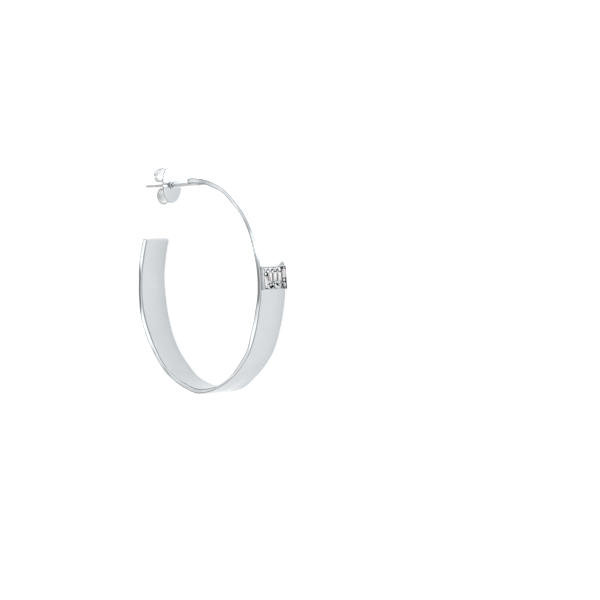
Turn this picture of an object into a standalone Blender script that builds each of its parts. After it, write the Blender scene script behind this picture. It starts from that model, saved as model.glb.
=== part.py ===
"""Hoop earring: a wide hammered band bent into an open oval, a box setting of step-cut and round
stones on its front, a straight post and a butterfly ear nut.

Metres, +Z up. The hoop lies on its side: Z runs along the axis of the hoop, +X is the front with
the stones, and +Y is the end with the post. Pieces are modelled about the middle of the hoop.
"""

from math import acos, cos, hypot, pi, radians, sin, tan

import bmesh
import bpy
from mathutils import Matrix, Vector

# Band
HOOP_HEIGHT = 0.0380
HOOP_WIDTH = 0.0302
BAND_WIDTH = 0.0061
BAND_THICKNESS = 0.00105
EDGE_ROUND = 0.00030
END_ROUND = 0.00022
POST_END_ANGLE = 97.7
FREE_END_ANGLE = -207.2

# Post, soldered to the upper end of the band
POST_DIAMETER = 0.00076
POST_LENGTH = 0.01305
POST_TIP_DIAMETER = 0.00060
POST_TIP_LENGTH = 0.0024
POST_SEAT_HEIGHT = 0.00024
POST_ROOT_LENGTH = 0.0013
POST_TIP_ROUND = 0.00012
SOLDER_SPREAD = 0.00012
SOLDER_LENGTH = 0.00040

# Stones
BAGUETTE_WIDTH = 0.00088
BAGUETTE_LENGTH = 0.00150
LONG_BAGUETTE_LENGTH = 0.00205
ROUND_DIAMETER = 0.00080
STONE_GAP = 0.00029
ROW_GAP = 0.00031
CROWN_HEIGHT = 0.00016
GIRDLE_HEIGHT = 0.00007

# Setting, a low box soldered on the front of the band, with a solder ramp at its far upper corner
SETTING_ANGLE = 3.7
SETTING_RISE = 0.00052
SETTING_WALL = 0.00012
SETTING_ROOT = 0.00045
STONE_STAND = 0.00010
RECESS_SINK = 0.00015
SEAT_CLEARANCE = 0.00004
PRONG_CLEARANCE = 0.000025
PRONG_STAND = 0.00008
RAMP_LENGTH = 0.00080
RAMP_WIDTH = 0.00150
RAMP_RISE = 0.00036

# Ear nut
LOBE_GAP = 0.0065
PLATE_WIDTH = 0.0046
PLATE_THICKNESS = 0.00028
CREASE_WIDTH = 0.00090
CREASE_DEPTH = 0.00016
SCALLOP_DEPTH = 0.00010
SCALLOP_COUNT = 40
COLLAR_DIAMETER = 0.0015
COLLAR_RISE = 0.00022
POST_CLEARANCE = 0.00005
SCROLL_WIDTH = 0.0029
SCROLL_NECK_WIDTH = 0.0018
SCROLL_THICKNESS = 0.00025

# Sizes that follow from the ones above
SEMI_X = HOOP_WIDTH / 2
SEMI_Y = HOOP_HEIGHT / 2
POST_RADIUS = POST_DIAMETER / 2
COLUMN_PITCH = BAGUETTE_WIDTH + STONE_GAP
STONE_DEPTH = SETTING_RISE + STONE_STAND + RECESS_SINK - SEAT_CLEARANCE
RECESS_LENGTH = 2 * ROUND_DIAMETER + BAGUETTE_LENGTH + 2 * ROW_GAP + 2 * SEAT_CLEARANCE
RECESS_WIDTH = 5 * BAGUETTE_WIDTH + 4 * STONE_GAP + 2 * SEAT_CLEARANCE
PRONG_RADIUS = STONE_GAP / 2 - PRONG_CLEARANCE
NUT_BORE_RADIUS = POST_RADIUS + POST_CLEARANCE

# Hammering, one row for each blow from the free end to the post end. near and far: how far the
# band's two rims stand out from the oval; dent: how far the middle of the outer face is driven
# in; all three as shares of BAND_THICKNESS. near_rim and far_rim: how far each long edge is
# worked inwards, as shares of BAND_WIDTH. The hoop rests where far_rim is 0 on two rows running.
HAMMERING = (
    # near   far    dent  near_rim far_rim
    (-0.05, 0.20, 0.00, 0.010, 0.010),
    (-0.10, 0.10, 0.05, 0.004, 0.006),
    (-0.10, 0.15, 0.08, 0.000, 0.000),
    (0.10, -0.05, 0.00, 0.008, 0.000),
    (0.08, -0.10, 0.06, 0.002, 0.012),
    (-0.05, 0.08, 0.10, 0.006, 0.004),
    (-0.15, 0.08, 0.02, 0.000, 0.010),
    (0.00, 0.00, 0.08, 0.010, 0.006),
    (-0.18, 0.17, 0.04, 0.004, 0.012),
    (-0.18, 0.10, 0.10, 0.000, 0.004),
    (0.03, 0.03, 0.00, 0.008, 0.008),
    (0.00, 0.05, 0.06, 0.002, 0.006),
    (0.12, 0.08, 0.10, 0.006, 0.000),
    (0.15, -0.18, 0.00, 0.000, 0.000),
    (-0.03, -0.05, 0.05, 0.010, 0.010),
    (0.05, 0.14, 0.12, 0.004, 0.004),
    (-0.25, 0.05, 0.06, 0.000, 0.012),
    (-0.30, 0.00, 0.00, 0.008, 0.006),
    (-0.12, 0.12, 0.00, 0.002, 0.002),
    (-0.04, 0.00, 0.00, 0.002, 0.002),
    (0.00, 0.00, 0.05, 0.006, 0.008),
    (0.10, 0.05, 0.02, 0.000, 0.000),
    (0.08, 0.22, 0.08, 0.008, 0.000),
    (-0.10, 0.08, 0.02, 0.002, 0.010),
    (-0.05, 0.00, 0.08, 0.006, 0.004),
    (-0.12, 0.05, 0.04, 0.000, 0.010),
    (-0.08, 0.00, 0.00, 0.008, 0.000),
    (0.05, 0.05, 0.00, 0.004, 0.000),
)
SPANS_PER_BLOW = 3
ACROSS_FACE = (-1.0, -0.5, 0.0, 0.5, 1.0)
CORNER_STEPS = 3
END_STEPS = (0.0, 0.3, 1.0)

# Columns of stones from the near rim (+Z) to the far rim. upper and lower: how far the round
# stone there stands off the recess wall, in row gaps, or None where the column has none.
# baguette: its length. seat: where it lies in the room left over, from 0, low, to 1, high.
# bead: the side of the baguette that has a bead between it and the round stone.
STONE_COLUMNS = (
    # upper lower baguette              seat  bead
    (0.0, None, LONG_BAGUETTE_LENGTH, 0.16, "upper"),
    (0.0, 1.34, BAGUETTE_LENGTH, 0.50, None),
    (0.0, 0.0, BAGUETTE_LENGTH, 0.84, "lower"),
    (0.3, 1.03, BAGUETTE_LENGTH, 0.67, None),
    (None, 0.8, BAGUETTE_LENGTH, 0.66, "lower"),
)
BEAD_SHARE = 0.3

# The nut's upper (+1) and lower (-1) half. height: from the post's axis to the edge of the
# plate. fullness: 2 for an ellipse, more for a squarer outline. lean: how far that half of the
# plate leans back, in degrees. depth: from the middle of the plate to the back of the scroll.
# reach: from the post's axis to the far side of the scroll.
NUT_HALVES = {
    # side: height, fullness, lean, depth, reach
    1: (0.00318, 2.0, 8.0, 0.00318, 0.00324),
    -1: (0.00318, 2.4, 4.5, 0.00245, 0.00348),
}
SCROLL_START = 30.0
SCROLL_FULL_FROM = 200.0
SCROLL_CURL_FROM = 230.0
SCROLL_END = 318.0
SCROLL_CURL = 0.16
SCROLL_POINTS = 22


def clear_scene():
    for old in list(bpy.data.objects):
        bpy.data.objects.remove(old, do_unlink=True)


def new_collection(name):
    collection = bpy.data.collections.new(name)
    bpy.context.scene.collection.children.link(collection)
    return collection


def new_object(name, bm, collection):
    """A mesh object made from a bmesh, with its faces pointing outwards."""
    bmesh.ops.recalc_face_normals(bm, faces=bm.faces[:])
    mesh = bpy.data.meshes.new(name)
    bm.to_mesh(mesh)
    bm.free()
    obj = bpy.data.objects.new(name, mesh)
    collection.objects.link(obj)
    return obj


def new_material(name, color, roughness, metallic, transmission=0.0):
    material = bpy.data.materials.new(name)
    material.use_nodes = True
    shader = material.node_tree.nodes["Principled BSDF"]
    shader.inputs["Base Color"].default_value = (*color, 1.0)
    shader.inputs["Roughness"].default_value = roughness
    shader.inputs["Metallic"].default_value = metallic
    shader.inputs["Transmission Weight"].default_value = transmission
    return material


def as_helper(obj):
    obj.hide_render = True
    obj.display_type = "WIRE"
    return obj


def add_boolean(target, tool, operation):
    modifier = target.modifiers.new(f"{operation.lower()}_{tool.name}", "BOOLEAN")
    modifier.operation = operation
    modifier.object = tool


def shade_smooth(obj, sharp_angle):
    obj.data.shade_smooth()
    obj.data.set_sharp_from_angle(angle=radians(sharp_angle))


def oval_point(angle):
    """Point of the band's outer oval and its outward normal, at this angle of the oval."""
    point = Vector((SEMI_X * cos(angle), SEMI_Y * sin(angle), 0))
    normal = Vector((SEMI_Y * cos(angle), SEMI_X * sin(angle), 0)).normalized()
    return point, normal


def angle_inside_end(end_angle, distance, direction):
    """The oval's angle this far along the band from an end, measured inwards."""
    speed = hypot(SEMI_X * sin(end_angle), SEMI_Y * cos(end_angle))
    return end_angle + direction * distance / speed


def hammering_at(share):
    """The hammering at this share of the way from the free end to the post end."""
    place = share * (len(HAMMERING) - 1)
    row = min(int(place), len(HAMMERING) - 2)
    t = place - row
    ease = t * t * (3 - 2 * t)
    return [a + (b - a) * ease for a, b in zip(HAMMERING[row], HAMMERING[row + 1])]


def section_outline(inset):
    """Rounded rectangle of the band as (across, depth, is_outer), drawn in by inset at an end."""
    half = BAND_WIDTH / 2 - inset
    corner = EDGE_ROUND - inset * EDGE_ROUND / (2 * END_ROUND)
    flat = half - corner
    outline = []
    for face, sign in ((inset, 1), (BAND_THICKNESS - inset, -1)):
        outer = sign > 0
        outline += [(-sign * share * flat, face, outer) for share in ACROSS_FACE]
        for step in range(1, CORNER_STEPS):
            turn = step / CORNER_STEPS * pi / 2
            across = -sign * (flat + corner * sin(turn))
            outline.append((across, face + sign * corner * (1 - cos(turn)), outer))
        outline.append((-sign * half, face + sign * corner, outer))
        outline.append((-sign * half, BAND_THICKNESS - face - sign * corner, not outer))
        for step in range(CORNER_STEPS - 1, 0, -1):
            turn = step / CORNER_STEPS * pi / 2
            across = -sign * (flat + corner * sin(turn))
            depth = BAND_THICKNESS - face - sign * corner * (1 - cos(turn))
            outline.append((across, depth, not outer))
    return outline


def band_section(angle, inset):
    """Points of the band's section at this angle, with the hammering of that place."""
    start, end = radians(FREE_END_ANGLE), radians(POST_END_ANGLE)
    near, far, dent, near_rim, far_rim = hammering_at((angle - start) / (end - start))
    point, normal = oval_point(angle)
    points = []
    for across, depth, is_outer in section_outline(inset):
        u = across / (BAND_WIDTH / 2)
        stand = (far * (1 - u) + near * (1 + u)) / 2
        if is_outer:
            stand -= dent * (1 - u * u)
        rise = BAND_WIDTH * (far_rim * (1 - u) - near_rim * (1 + u)) / 2
        out = BAND_THICKNESS * stand - depth
        points.append(point + normal * out + Vector((0, 0, across + rise)))
    return points


def section_places():
    """(angle, inset) of each section, closer together where the two ends are rounded off."""
    start, end = radians(FREE_END_ANGLE), radians(POST_END_ANGLE)
    places = []
    for step in END_STEPS:
        inset = END_ROUND * (1 - sin(acos(1 - step)))
        places.append((angle_inside_end(start, END_ROUND * step, 1), inset))
    count = (len(HAMMERING) - 1) * SPANS_PER_BLOW
    for i in range(1, count):
        places.append((start + (end - start) * i / count, 0.0))
    for step in reversed(END_STEPS):
        inset = END_ROUND * (1 - sin(acos(1 - step)))
        places.append((angle_inside_end(end, END_ROUND * step, -1), inset))
    return places


def make_band(collection):
    """The band, lofted through its hammered sections."""
    bm = bmesh.new()
    rings = []
    for angle, inset in section_places():
        rings.append([bm.verts.new(p) for p in band_section(angle, inset)])
    for ring, following in zip(rings, rings[1:]):
        for i in range(len(ring)):
            j = (i + 1) % len(ring)
            bm.faces.new((ring[i], ring[j], following[j], following[i]))
    bm.faces.new(rings[0])
    bm.faces.new(rings[-1])
    return new_object("hoop", bm, collection)


def post_axis():
    """Where the post leaves the band's end: a point on its axis. The post runs along -X."""
    point, normal = oval_point(radians(POST_END_ANGLE))
    seat = point - normal * (BAND_THICKNESS - POST_SEAT_HEIGHT)
    return Vector((point.x, seat.y, 0))


def make_post(collection):
    """The post with its solder fillet and narrower tip, turned from a profile."""
    tip_radius = POST_TIP_DIAMETER / 2
    taper = POST_RADIUS - tip_radius
    solder = POST_RADIUS + SOLDER_SPREAD
    profile = (
        (0, POST_LENGTH),
        (tip_radius - POST_TIP_ROUND, POST_LENGTH),
        (tip_radius - POST_TIP_ROUND * 0.3, POST_LENGTH - POST_TIP_ROUND * 0.3),
        (tip_radius, POST_LENGTH - POST_TIP_ROUND),
        (tip_radius, POST_LENGTH - POST_TIP_LENGTH + taper),
        (POST_RADIUS, POST_LENGTH - POST_TIP_LENGTH),
        (POST_RADIUS, SOLDER_LENGTH),
        (POST_RADIUS + SOLDER_SPREAD * 0.3, SOLDER_LENGTH * 0.4),
        (solder, 0),
        (solder, -SOLDER_LENGTH * 0.3),
        (POST_RADIUS, -SOLDER_LENGTH),
        (POST_RADIUS, -POST_ROOT_LENGTH),
        (0, -POST_ROOT_LENGTH),
    )
    bm = bmesh.new()
    verts = [bm.verts.new((radius, 0, height)) for radius, height in profile]
    for upper, lower in zip(verts, verts[1:]):
        bm.edges.new((upper, lower))
    post = new_object("post", bm, collection)
    screw = post.modifiers.new("turn", "SCREW")
    screw.steps = 16
    screw.render_steps = 16
    screw.use_merge_vertices = True
    screw.merge_threshold = 1e-6
    post.location = post_axis()
    post.rotation_euler = (0, -pi / 2, 0)
    return as_helper(post)


def setting_frame():
    """Matrix of the setting: X out of the band, Y along it towards the post, Z across it."""
    point, normal = oval_point(radians(SETTING_ANGLE))
    along = Vector((-normal.y, normal.x, 0))
    rotation = Matrix((normal, along, Vector((0, 0, 1)))).transposed()
    return Matrix.Translation(point) @ rotation.to_4x4()


def place_in_setting(obj, x, y, z):
    obj.matrix_world = setting_frame() @ Matrix.Translation((x, y, z))


def make_box(name, collection, size):
    bm = bmesh.new()
    bmesh.ops.create_cube(bm, size=1)
    bmesh.ops.scale(bm, vec=size, verts=bm.verts)
    return as_helper(new_object(name, bm, collection))


def make_setting_block(collection):
    """The box wall of the setting, sunk into the band."""
    height = SETTING_RISE + SETTING_ROOT
    length = RECESS_LENGTH + 2 * SETTING_WALL
    width = RECESS_WIDTH + 2 * SETTING_WALL
    block = make_box("setting_block", collection, (height, length, width))
    place_in_setting(block, SETTING_RISE - height / 2, 0, 0)
    return block


def make_stone_recess(collection):
    """The hollow of the setting that the stones sit in, cut a little into the band."""
    height = 2 * SETTING_RISE + RECESS_SINK
    recess = make_box("stone_recess", collection, (height, RECESS_LENGTH, RECESS_WIDTH))
    place_in_setting(recess, height / 2 - RECESS_SINK, 0, 0)
    return recess


def stone_columns():
    """Each column of stones worked out: its place across, its stones and its bead."""
    top = RECESS_LENGTH / 2 - SEAT_CLEARANCE
    middle = (len(STONE_COLUMNS) - 1) / 2
    columns = []
    for i, (upper, lower, length, seat, bead) in enumerate(STONE_COLUMNS):
        across = (middle - i) * COLUMN_PITCH
        rounds = {}
        low, high = -top, top
        if upper is not None:
            rounds["upper"] = top - upper * ROW_GAP - ROUND_DIAMETER / 2
            high = rounds["upper"] - ROUND_DIAMETER / 2
        if lower is not None:
            rounds["lower"] = -top + lower * ROW_GAP + ROUND_DIAMETER / 2
            low = rounds["lower"] + ROUND_DIAMETER / 2
        start = low + (high - low - length) * seat
        beads = []
        if bead == "upper":
            beads.append(((start + length + high) / 2, (high - start - length) * BEAD_SHARE))
        elif bead == "lower":
            beads.append(((start + low) / 2, (start - low) * BEAD_SHARE))
        columns.append((across, rounds, start + length / 2, length, beads))
    return columns


def prong_places():
    """(along, across, radius) of each prong bead in the setting."""
    columns = stone_columns()
    corner = RECESS_LENGTH / 2 - SEAT_CLEARANCE - ROUND_DIAMETER - ROW_GAP / 2
    places = []
    for (left, *_), (right, *_) in zip(columns, columns[1:]):
        for along in (corner, -corner):
            places.append((along, (left + right) / 2, PRONG_RADIUS))
    for across, _, _, _, beads in columns:
        places += [(along, across, radius) for along, radius in beads]
    return places


def make_solder_ramp(collection):
    """The small three-sided ramp of solder against the setting's far upper corner."""
    start = RECESS_LENGTH / 2 + SETTING_WALL / 2
    edge = -RECESS_WIDTH / 2 - SETTING_WALL
    tip = start + RAMP_LENGTH
    bm = bmesh.new()
    for y, z, x in (
        (start, edge, RAMP_RISE),
        (start, edge + RAMP_WIDTH, 0),
        (tip, edge, 0),
        (start, edge, -SETTING_ROOT),
        (start, edge + RAMP_WIDTH, -SETTING_ROOT),
        (tip, edge, -SETTING_ROOT),
    ):
        bm.verts.new((x, y, z))
    bmesh.ops.convex_hull(bm, input=bm.verts[:])
    ramp = as_helper(new_object("solder_ramp", bm, collection))
    place_in_setting(ramp, 0, 0, 0)
    return ramp


def make_prongs(collection):
    """All prong beads in one mesh: round-topped pins that stand on the recess floor."""
    bm = bmesh.new()
    top = SETTING_RISE + PRONG_STAND
    for along, across, radius in prong_places():
        made = bmesh.ops.create_uvsphere(bm, u_segments=8, v_segments=6, radius=radius)
        shank = top + RECESS_SINK - radius
        for vert in made["verts"]:
            sunk = vert.co.z < -radius * 0.01
            x = top - radius + vert.co.z - (shank if sunk else 0)
            vert.co = Vector((x, along + vert.co.x, across + vert.co.y))
    prongs = as_helper(new_object("prongs", bm, collection))
    place_in_setting(prongs, 0, 0, 0)
    return prongs


def make_hoop(parts, helpers, material):
    """Band, setting, prong beads and post as one soldered solid."""
    hoop = make_band(parts)
    add_boolean(hoop, make_setting_block(helpers), "UNION")
    add_boolean(hoop, make_solder_ramp(helpers), "UNION")
    add_boolean(hoop, make_stone_recess(helpers), "DIFFERENCE")
    add_boolean(hoop, make_prongs(helpers), "UNION")
    add_boolean(hoop, make_post(helpers), "UNION")
    hoop.data.materials.append(material)
    shade_smooth(hoop, 40)
    return hoop


def facet(bm, face, steps):
    """Works a face of the girdle into facets. Each step is (how far in, how far out)."""
    for inward, outward in steps:
        bmesh.ops.inset_region(
            bm, faces=[face], thickness=inward, depth=outward, use_even_offset=True
        )


def end_face(bm, side):
    return max(bm.faces, key=lambda f: side * f.calc_center_median().x)


def cut_stone(name, bm, radius, collection, material, place):
    """Facets a girdle slab into a stone with a table, a crown and a pavilion.

    Its local X points out of the table, and the table lies at X = 0. radius: half its width.
    """
    pavilion = STONE_DEPTH - CROWN_HEIGHT - GIRDLE_HEIGHT
    bmesh.ops.translate(bm, vec=(-CROWN_HEIGHT - GIRDLE_HEIGHT / 2, 0, 0), verts=bm.verts)
    crown = ((radius * 0.22, CROWN_HEIGHT * 0.65), (radius * 0.18, CROWN_HEIGHT * 0.35))
    culet = ((radius * 0.30, pavilion * 0.45), (radius * 0.55, pavilion * 0.55))
    facet(bm, end_face(bm, 1), crown)
    facet(bm, end_face(bm, -1), culet)
    stone = new_object(name, bm, collection)
    along, across = place
    place_in_setting(stone, SETTING_RISE + STONE_STAND, along, across)
    stone.data.materials.append(material)
    return stone


def make_baguette(name, collection, material, length, place):
    bm = bmesh.new()
    bmesh.ops.create_cube(bm, size=1)
    bmesh.ops.scale(bm, vec=(GIRDLE_HEIGHT, length, BAGUETTE_WIDTH), verts=bm.verts)
    return cut_stone(name, bm, BAGUETTE_WIDTH / 2, collection, material, place)


def make_round(name, collection, material, place):
    radius = ROUND_DIAMETER / 2
    bm = bmesh.new()
    bmesh.ops.create_cone(
        bm, cap_ends=True, segments=10, radius1=radius, radius2=radius, depth=GIRDLE_HEIGHT
    )
    bmesh.ops.rotate(bm, verts=bm.verts, matrix=Matrix.Rotation(pi / 2, 3, "Y"))
    return cut_stone(name, bm, radius, collection, material, place)


def make_stones(collection, baguette_material, round_material):
    stones = []
    places = {"upper": [], "lower": []}
    for i, (across, rounds, centre, length, _) in enumerate(stone_columns()):
        name = f"baguette_{i + 1}"
        place = (centre, across)
        stones.append(make_baguette(name, collection, baguette_material, length, place))
        for row, along in rounds.items():
            places[row].append((along, across))
    for i, place in enumerate(places["upper"] + places["lower"]):
        stones.append(make_round(f"round_{i + 1}", collection, round_material, place))
    return stones


def plate_middle(y):
    """X of the plate's middle at this height over the post: both halves lean back from it."""
    _, _, lean, _, _ = NUT_HALVES[1 if y > 0 else -1]
    crease = max(0.0, 1 - abs(y) / (CREASE_WIDTH / 2))
    return -abs(y) * tan(radians(lean)) - CREASE_DEPTH * crease


def plate_outline():
    """(y, z) of the plate's scalloped edge, all the way round."""
    points = []
    for i in range(2 * SCALLOP_COUNT):
        angle = 2 * pi * i / (2 * SCALLOP_COUNT)
        side = 1 if sin(angle) > 0 else -1
        height, fullness, *_ = NUT_HALVES[side]
        dip = SCALLOP_DEPTH * (i % 2)
        up = abs(sin(angle)) ** (2 / fullness)
        across = abs(cos(angle)) ** (2 / fullness)
        z = (PLATE_WIDTH / 2 - dip) * across
        points.append((side * (height - dip) * up, z if cos(angle) > 0 else -z))
    return points


def make_plate(collection):
    """The nut's plate: scalloped all round, creased across behind the post."""
    bm = bmesh.new()
    outline = [bm.verts.new((-PLATE_THICKNESS / 2, y, z)) for y, z in plate_outline()]
    back = bm.faces.new(outline)
    made = bmesh.ops.extrude_face_region(bm, geom=[back])
    front = [v for v in made["geom"] if isinstance(v, bmesh.types.BMVert)]
    bmesh.ops.translate(bm, vec=(PLATE_THICKNESS, 0, 0), verts=front)
    for y in (-CREASE_WIDTH / 2, 0, CREASE_WIDTH / 2):
        bmesh.ops.bisect_plane(
            bm,
            geom=bm.verts[:] + bm.edges[:] + bm.faces[:],
            dist=1e-7,
            plane_co=(0, y, 0),
            plane_no=(0, 1, 0),
        )
    for vert in bm.verts:
        vert.co.x += plate_middle(vert.co.y)
    return new_object("ear_nut", bm, collection)


def scroll_path(side, depth, reach):
    """Middle line of a scroll, out of the plate, round the back and in by the post.

    Each point is (x, y, half): half is half the ribbon's width there, narrow at the plate.
    """
    inner = NUT_BORE_RADIUS + SCROLL_THICKNESS / 2
    outer = reach - SCROLL_THICKNESS / 2
    semi_y = (outer - inner) / 2
    centre_y = (outer + inner) / 2
    start = radians(SCROLL_START)
    start_y = centre_y + semi_y * sin(start)
    back_x = -depth + SCROLL_THICKNESS / 2
    semi_x = (plate_middle(side * start_y) - back_x) / (1 + cos(start))
    centre_x = back_x + semi_x
    full_from = radians(SCROLL_FULL_FROM)
    curl_from, end = radians(SCROLL_CURL_FROM), radians(SCROLL_END)
    points = []
    for i in range(SCROLL_POINTS):
        angle = start + (end - start) * i / (SCROLL_POINTS - 1)
        curled = max(0.0, (angle - curl_from) / (end - curl_from))
        size = 1 - SCROLL_CURL * curled
        x = centre_x + semi_x * size * cos(angle)
        y = centre_y + semi_y * size * sin(angle)
        t = min(1.0, (angle - start) / (full_from - start))
        ease = t * t * (3 - 2 * t)
        width = SCROLL_NECK_WIDTH + (SCROLL_WIDTH - SCROLL_NECK_WIDTH) * ease
        points.append((x, side * y, width / 2))
    return points


def make_scroll(name, collection, side, depth, reach):
    """One rolled scroll: a ribbon drawn along its path and given its thickness."""
    bm = bmesh.new()
    path = scroll_path(side, depth, reach)
    far = [bm.verts.new((x, y, -half)) for x, y, half in path]
    near = [bm.verts.new((x, y, half)) for x, y, half in path]
    for rim in (far, near):
        for pair in zip(rim, rim[1:]):
            bm.edges.new(pair)
    bmesh.ops.bridge_loops(bm, edges=bm.edges[:])
    scroll = new_object(name, bm, collection)
    solidify = scroll.modifiers.new("wall", "SOLIDIFY")
    solidify.thickness = SCROLL_THICKNESS
    solidify.offset = 0
    solidify.use_even_offset = True
    return as_helper(scroll)


def make_disc(name, collection, radius, start, end):
    """A round bar along X from start to end."""
    bm = bmesh.new()
    bmesh.ops.create_cone(
        bm, cap_ends=True, segments=16, radius1=radius, radius2=radius, depth=end - start
    )
    bmesh.ops.rotate(bm, verts=bm.verts, matrix=Matrix.Rotation(pi / 2, 3, "Y"))
    bmesh.ops.translate(bm, vec=((start + end) / 2, 0, 0), verts=bm.verts)
    return as_helper(new_object(name, bm, collection))


def make_ear_nut(parts, helpers, material):
    """The butterfly nut about its own origin, which lies on the post's axis."""
    nut = make_plate(parts)
    tools = []
    for side, (_, _, _, depth, reach) in NUT_HALVES.items():
        name = "upper_scroll" if side > 0 else "lower_scroll"
        tools.append(make_scroll(name, helpers, side, depth, reach))
    collar_front = PLATE_THICKNESS / 2 + COLLAR_RISE
    tools.append(make_disc("collar", helpers, COLLAR_DIAMETER / 2, 0, collar_front))
    bore = make_disc("nut_bore", helpers, NUT_BORE_RADIUS, -PLATE_WIDTH, PLATE_WIDTH)
    for tool in tools:
        add_boolean(nut, tool, "UNION")
    add_boolean(nut, bore, "DIFFERENCE")
    axis = post_axis()
    nut.location = (axis.x - LOBE_GAP - PLATE_THICKNESS / 2, axis.y, 0)
    for tool in (*tools, bore):
        tool.parent = nut
    nut.data.materials.append(material)
    shade_smooth(nut, 35)
    return nut


def bounds_of(objects):
    """Lowest and highest corners of these objects as they are built."""
    bpy.context.view_layer.update()
    graph = bpy.context.evaluated_depsgraph_get()
    corners = []
    for obj in objects:
        evaluated = obj.evaluated_get(graph)
        corners += [evaluated.matrix_world @ Vector(c) for c in evaluated.bound_box]
    low = Vector(min(c[i] for c in corners) for i in range(3))
    high = Vector(max(c[i] for c in corners) for i in range(3))
    return low, high


def stand_on_origin(objects, helpers, collection):
    """Hangs every piece on one empty that puts the origin under the middle of the earring."""
    low, high = bounds_of(objects)
    frame = bpy.data.objects.new("earring_frame", None)
    collection.objects.link(frame)
    for obj in [*objects, *helpers.objects]:
        if obj.parent is None:
            obj.parent = frame
    frame.location = (-(low.x + high.x) / 2, -(low.y + high.y) / 2, -low.z)


def main():
    clear_scene()
    parts = new_collection("hoop_earring")
    helpers = new_collection("helpers")
    band_metal = new_material("band_white_gold", (0.72, 0.73, 0.74), 0.08, 1.0)
    nut_metal = new_material("nut_white_gold", (0.74, 0.75, 0.76), 0.10, 1.0)
    baguette_stone = new_material("baguette_stone", (0.95, 0.95, 0.96), 0.02, 0.0, 0.9)
    round_stone = new_material("round_stone", (0.95, 0.95, 0.97), 0.02, 0.0, 0.9)
    objects = [make_hoop(parts, helpers, band_metal)]
    objects += make_stones(parts, baguette_stone, round_stone)
    objects.append(make_ear_nut(parts, helpers, nut_metal))
    stand_on_origin(objects, helpers, parts)


main()
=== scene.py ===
"""Dresses a hammered hoop earring: the fine band, its stone setting, the post, the ear nut, and a
pale studio floor with soft light.
"""

from math import asin, atan2, cos, hypot, pi, radians, sin, tan

import bmesh
import bpy
from bpy.props import FloatProperty, FloatVectorProperty, IntProperty, PointerProperty
from mathutils import Matrix, Vector, noise


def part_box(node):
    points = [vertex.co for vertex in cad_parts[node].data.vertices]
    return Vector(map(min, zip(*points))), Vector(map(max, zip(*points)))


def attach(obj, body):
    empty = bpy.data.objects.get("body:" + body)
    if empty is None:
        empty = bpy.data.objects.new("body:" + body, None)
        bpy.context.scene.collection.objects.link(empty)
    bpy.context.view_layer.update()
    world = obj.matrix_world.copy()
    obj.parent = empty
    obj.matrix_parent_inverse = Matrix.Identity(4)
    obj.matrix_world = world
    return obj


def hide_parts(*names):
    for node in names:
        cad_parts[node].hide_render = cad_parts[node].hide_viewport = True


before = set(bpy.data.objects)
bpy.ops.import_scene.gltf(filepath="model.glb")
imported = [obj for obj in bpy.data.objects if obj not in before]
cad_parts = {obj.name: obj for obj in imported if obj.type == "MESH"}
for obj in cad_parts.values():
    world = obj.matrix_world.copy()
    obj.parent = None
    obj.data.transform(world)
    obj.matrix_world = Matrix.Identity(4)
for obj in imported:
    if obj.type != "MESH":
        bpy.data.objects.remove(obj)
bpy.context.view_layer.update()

bl_info = {
    "name": "Hammered Hoop Earring",
    "version": (1, 0, 0),
    "blender": (4, 5, 0),
    "location": "View3D > Sidebar > Earring",
    "description": "Builds the fine surfaces of a hammered hoop earring and lights it",
    "category": "Object",
}

HOOP_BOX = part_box("hoop")
NUT_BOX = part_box("ear_nut")
# Centre of the oval, as in the solids.
HOOP_CENTRE = Vector((-0.000300, -0.001116, (HOOP_BOX[0][2] + HOOP_BOX[1][2]) / 2))

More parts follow.
